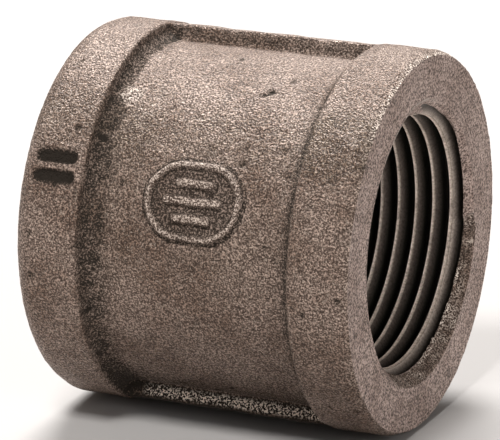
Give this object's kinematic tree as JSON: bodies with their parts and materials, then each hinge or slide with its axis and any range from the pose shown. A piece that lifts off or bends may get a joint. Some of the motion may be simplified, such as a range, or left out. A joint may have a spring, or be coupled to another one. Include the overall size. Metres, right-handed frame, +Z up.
{
  "type": "pipe coupling",
  "caption": "Banded straight pipe coupling: a short ribbed barrel between two thick end bands, with a tapered female thread cut in from each end.",
  "frame": {"origin": "on the fitting's axis, halfway between the two end faces", "axes": "+X along the axis and out of the near mouth; +Z up, with the fitting lying on its side and its two ribs rolled 18 degrees from upright towards +Y; -Y is the side with the badge"},
  "size_m": [0.0424, 0.0454, 0.0454],
  "materials": {
    "black_iron": "sand-cast skin, dull and slightly brown, with machined end faces and threads",
    "raised_mark_iron": "sand-cast skin, rubbed a little lighter on its raised edges"
  },
  "bodies": {
    "root": {"coupling_casting": "black_iron", "maker_badge": "raised_mark_iron"}
  },
  "joints": []
}
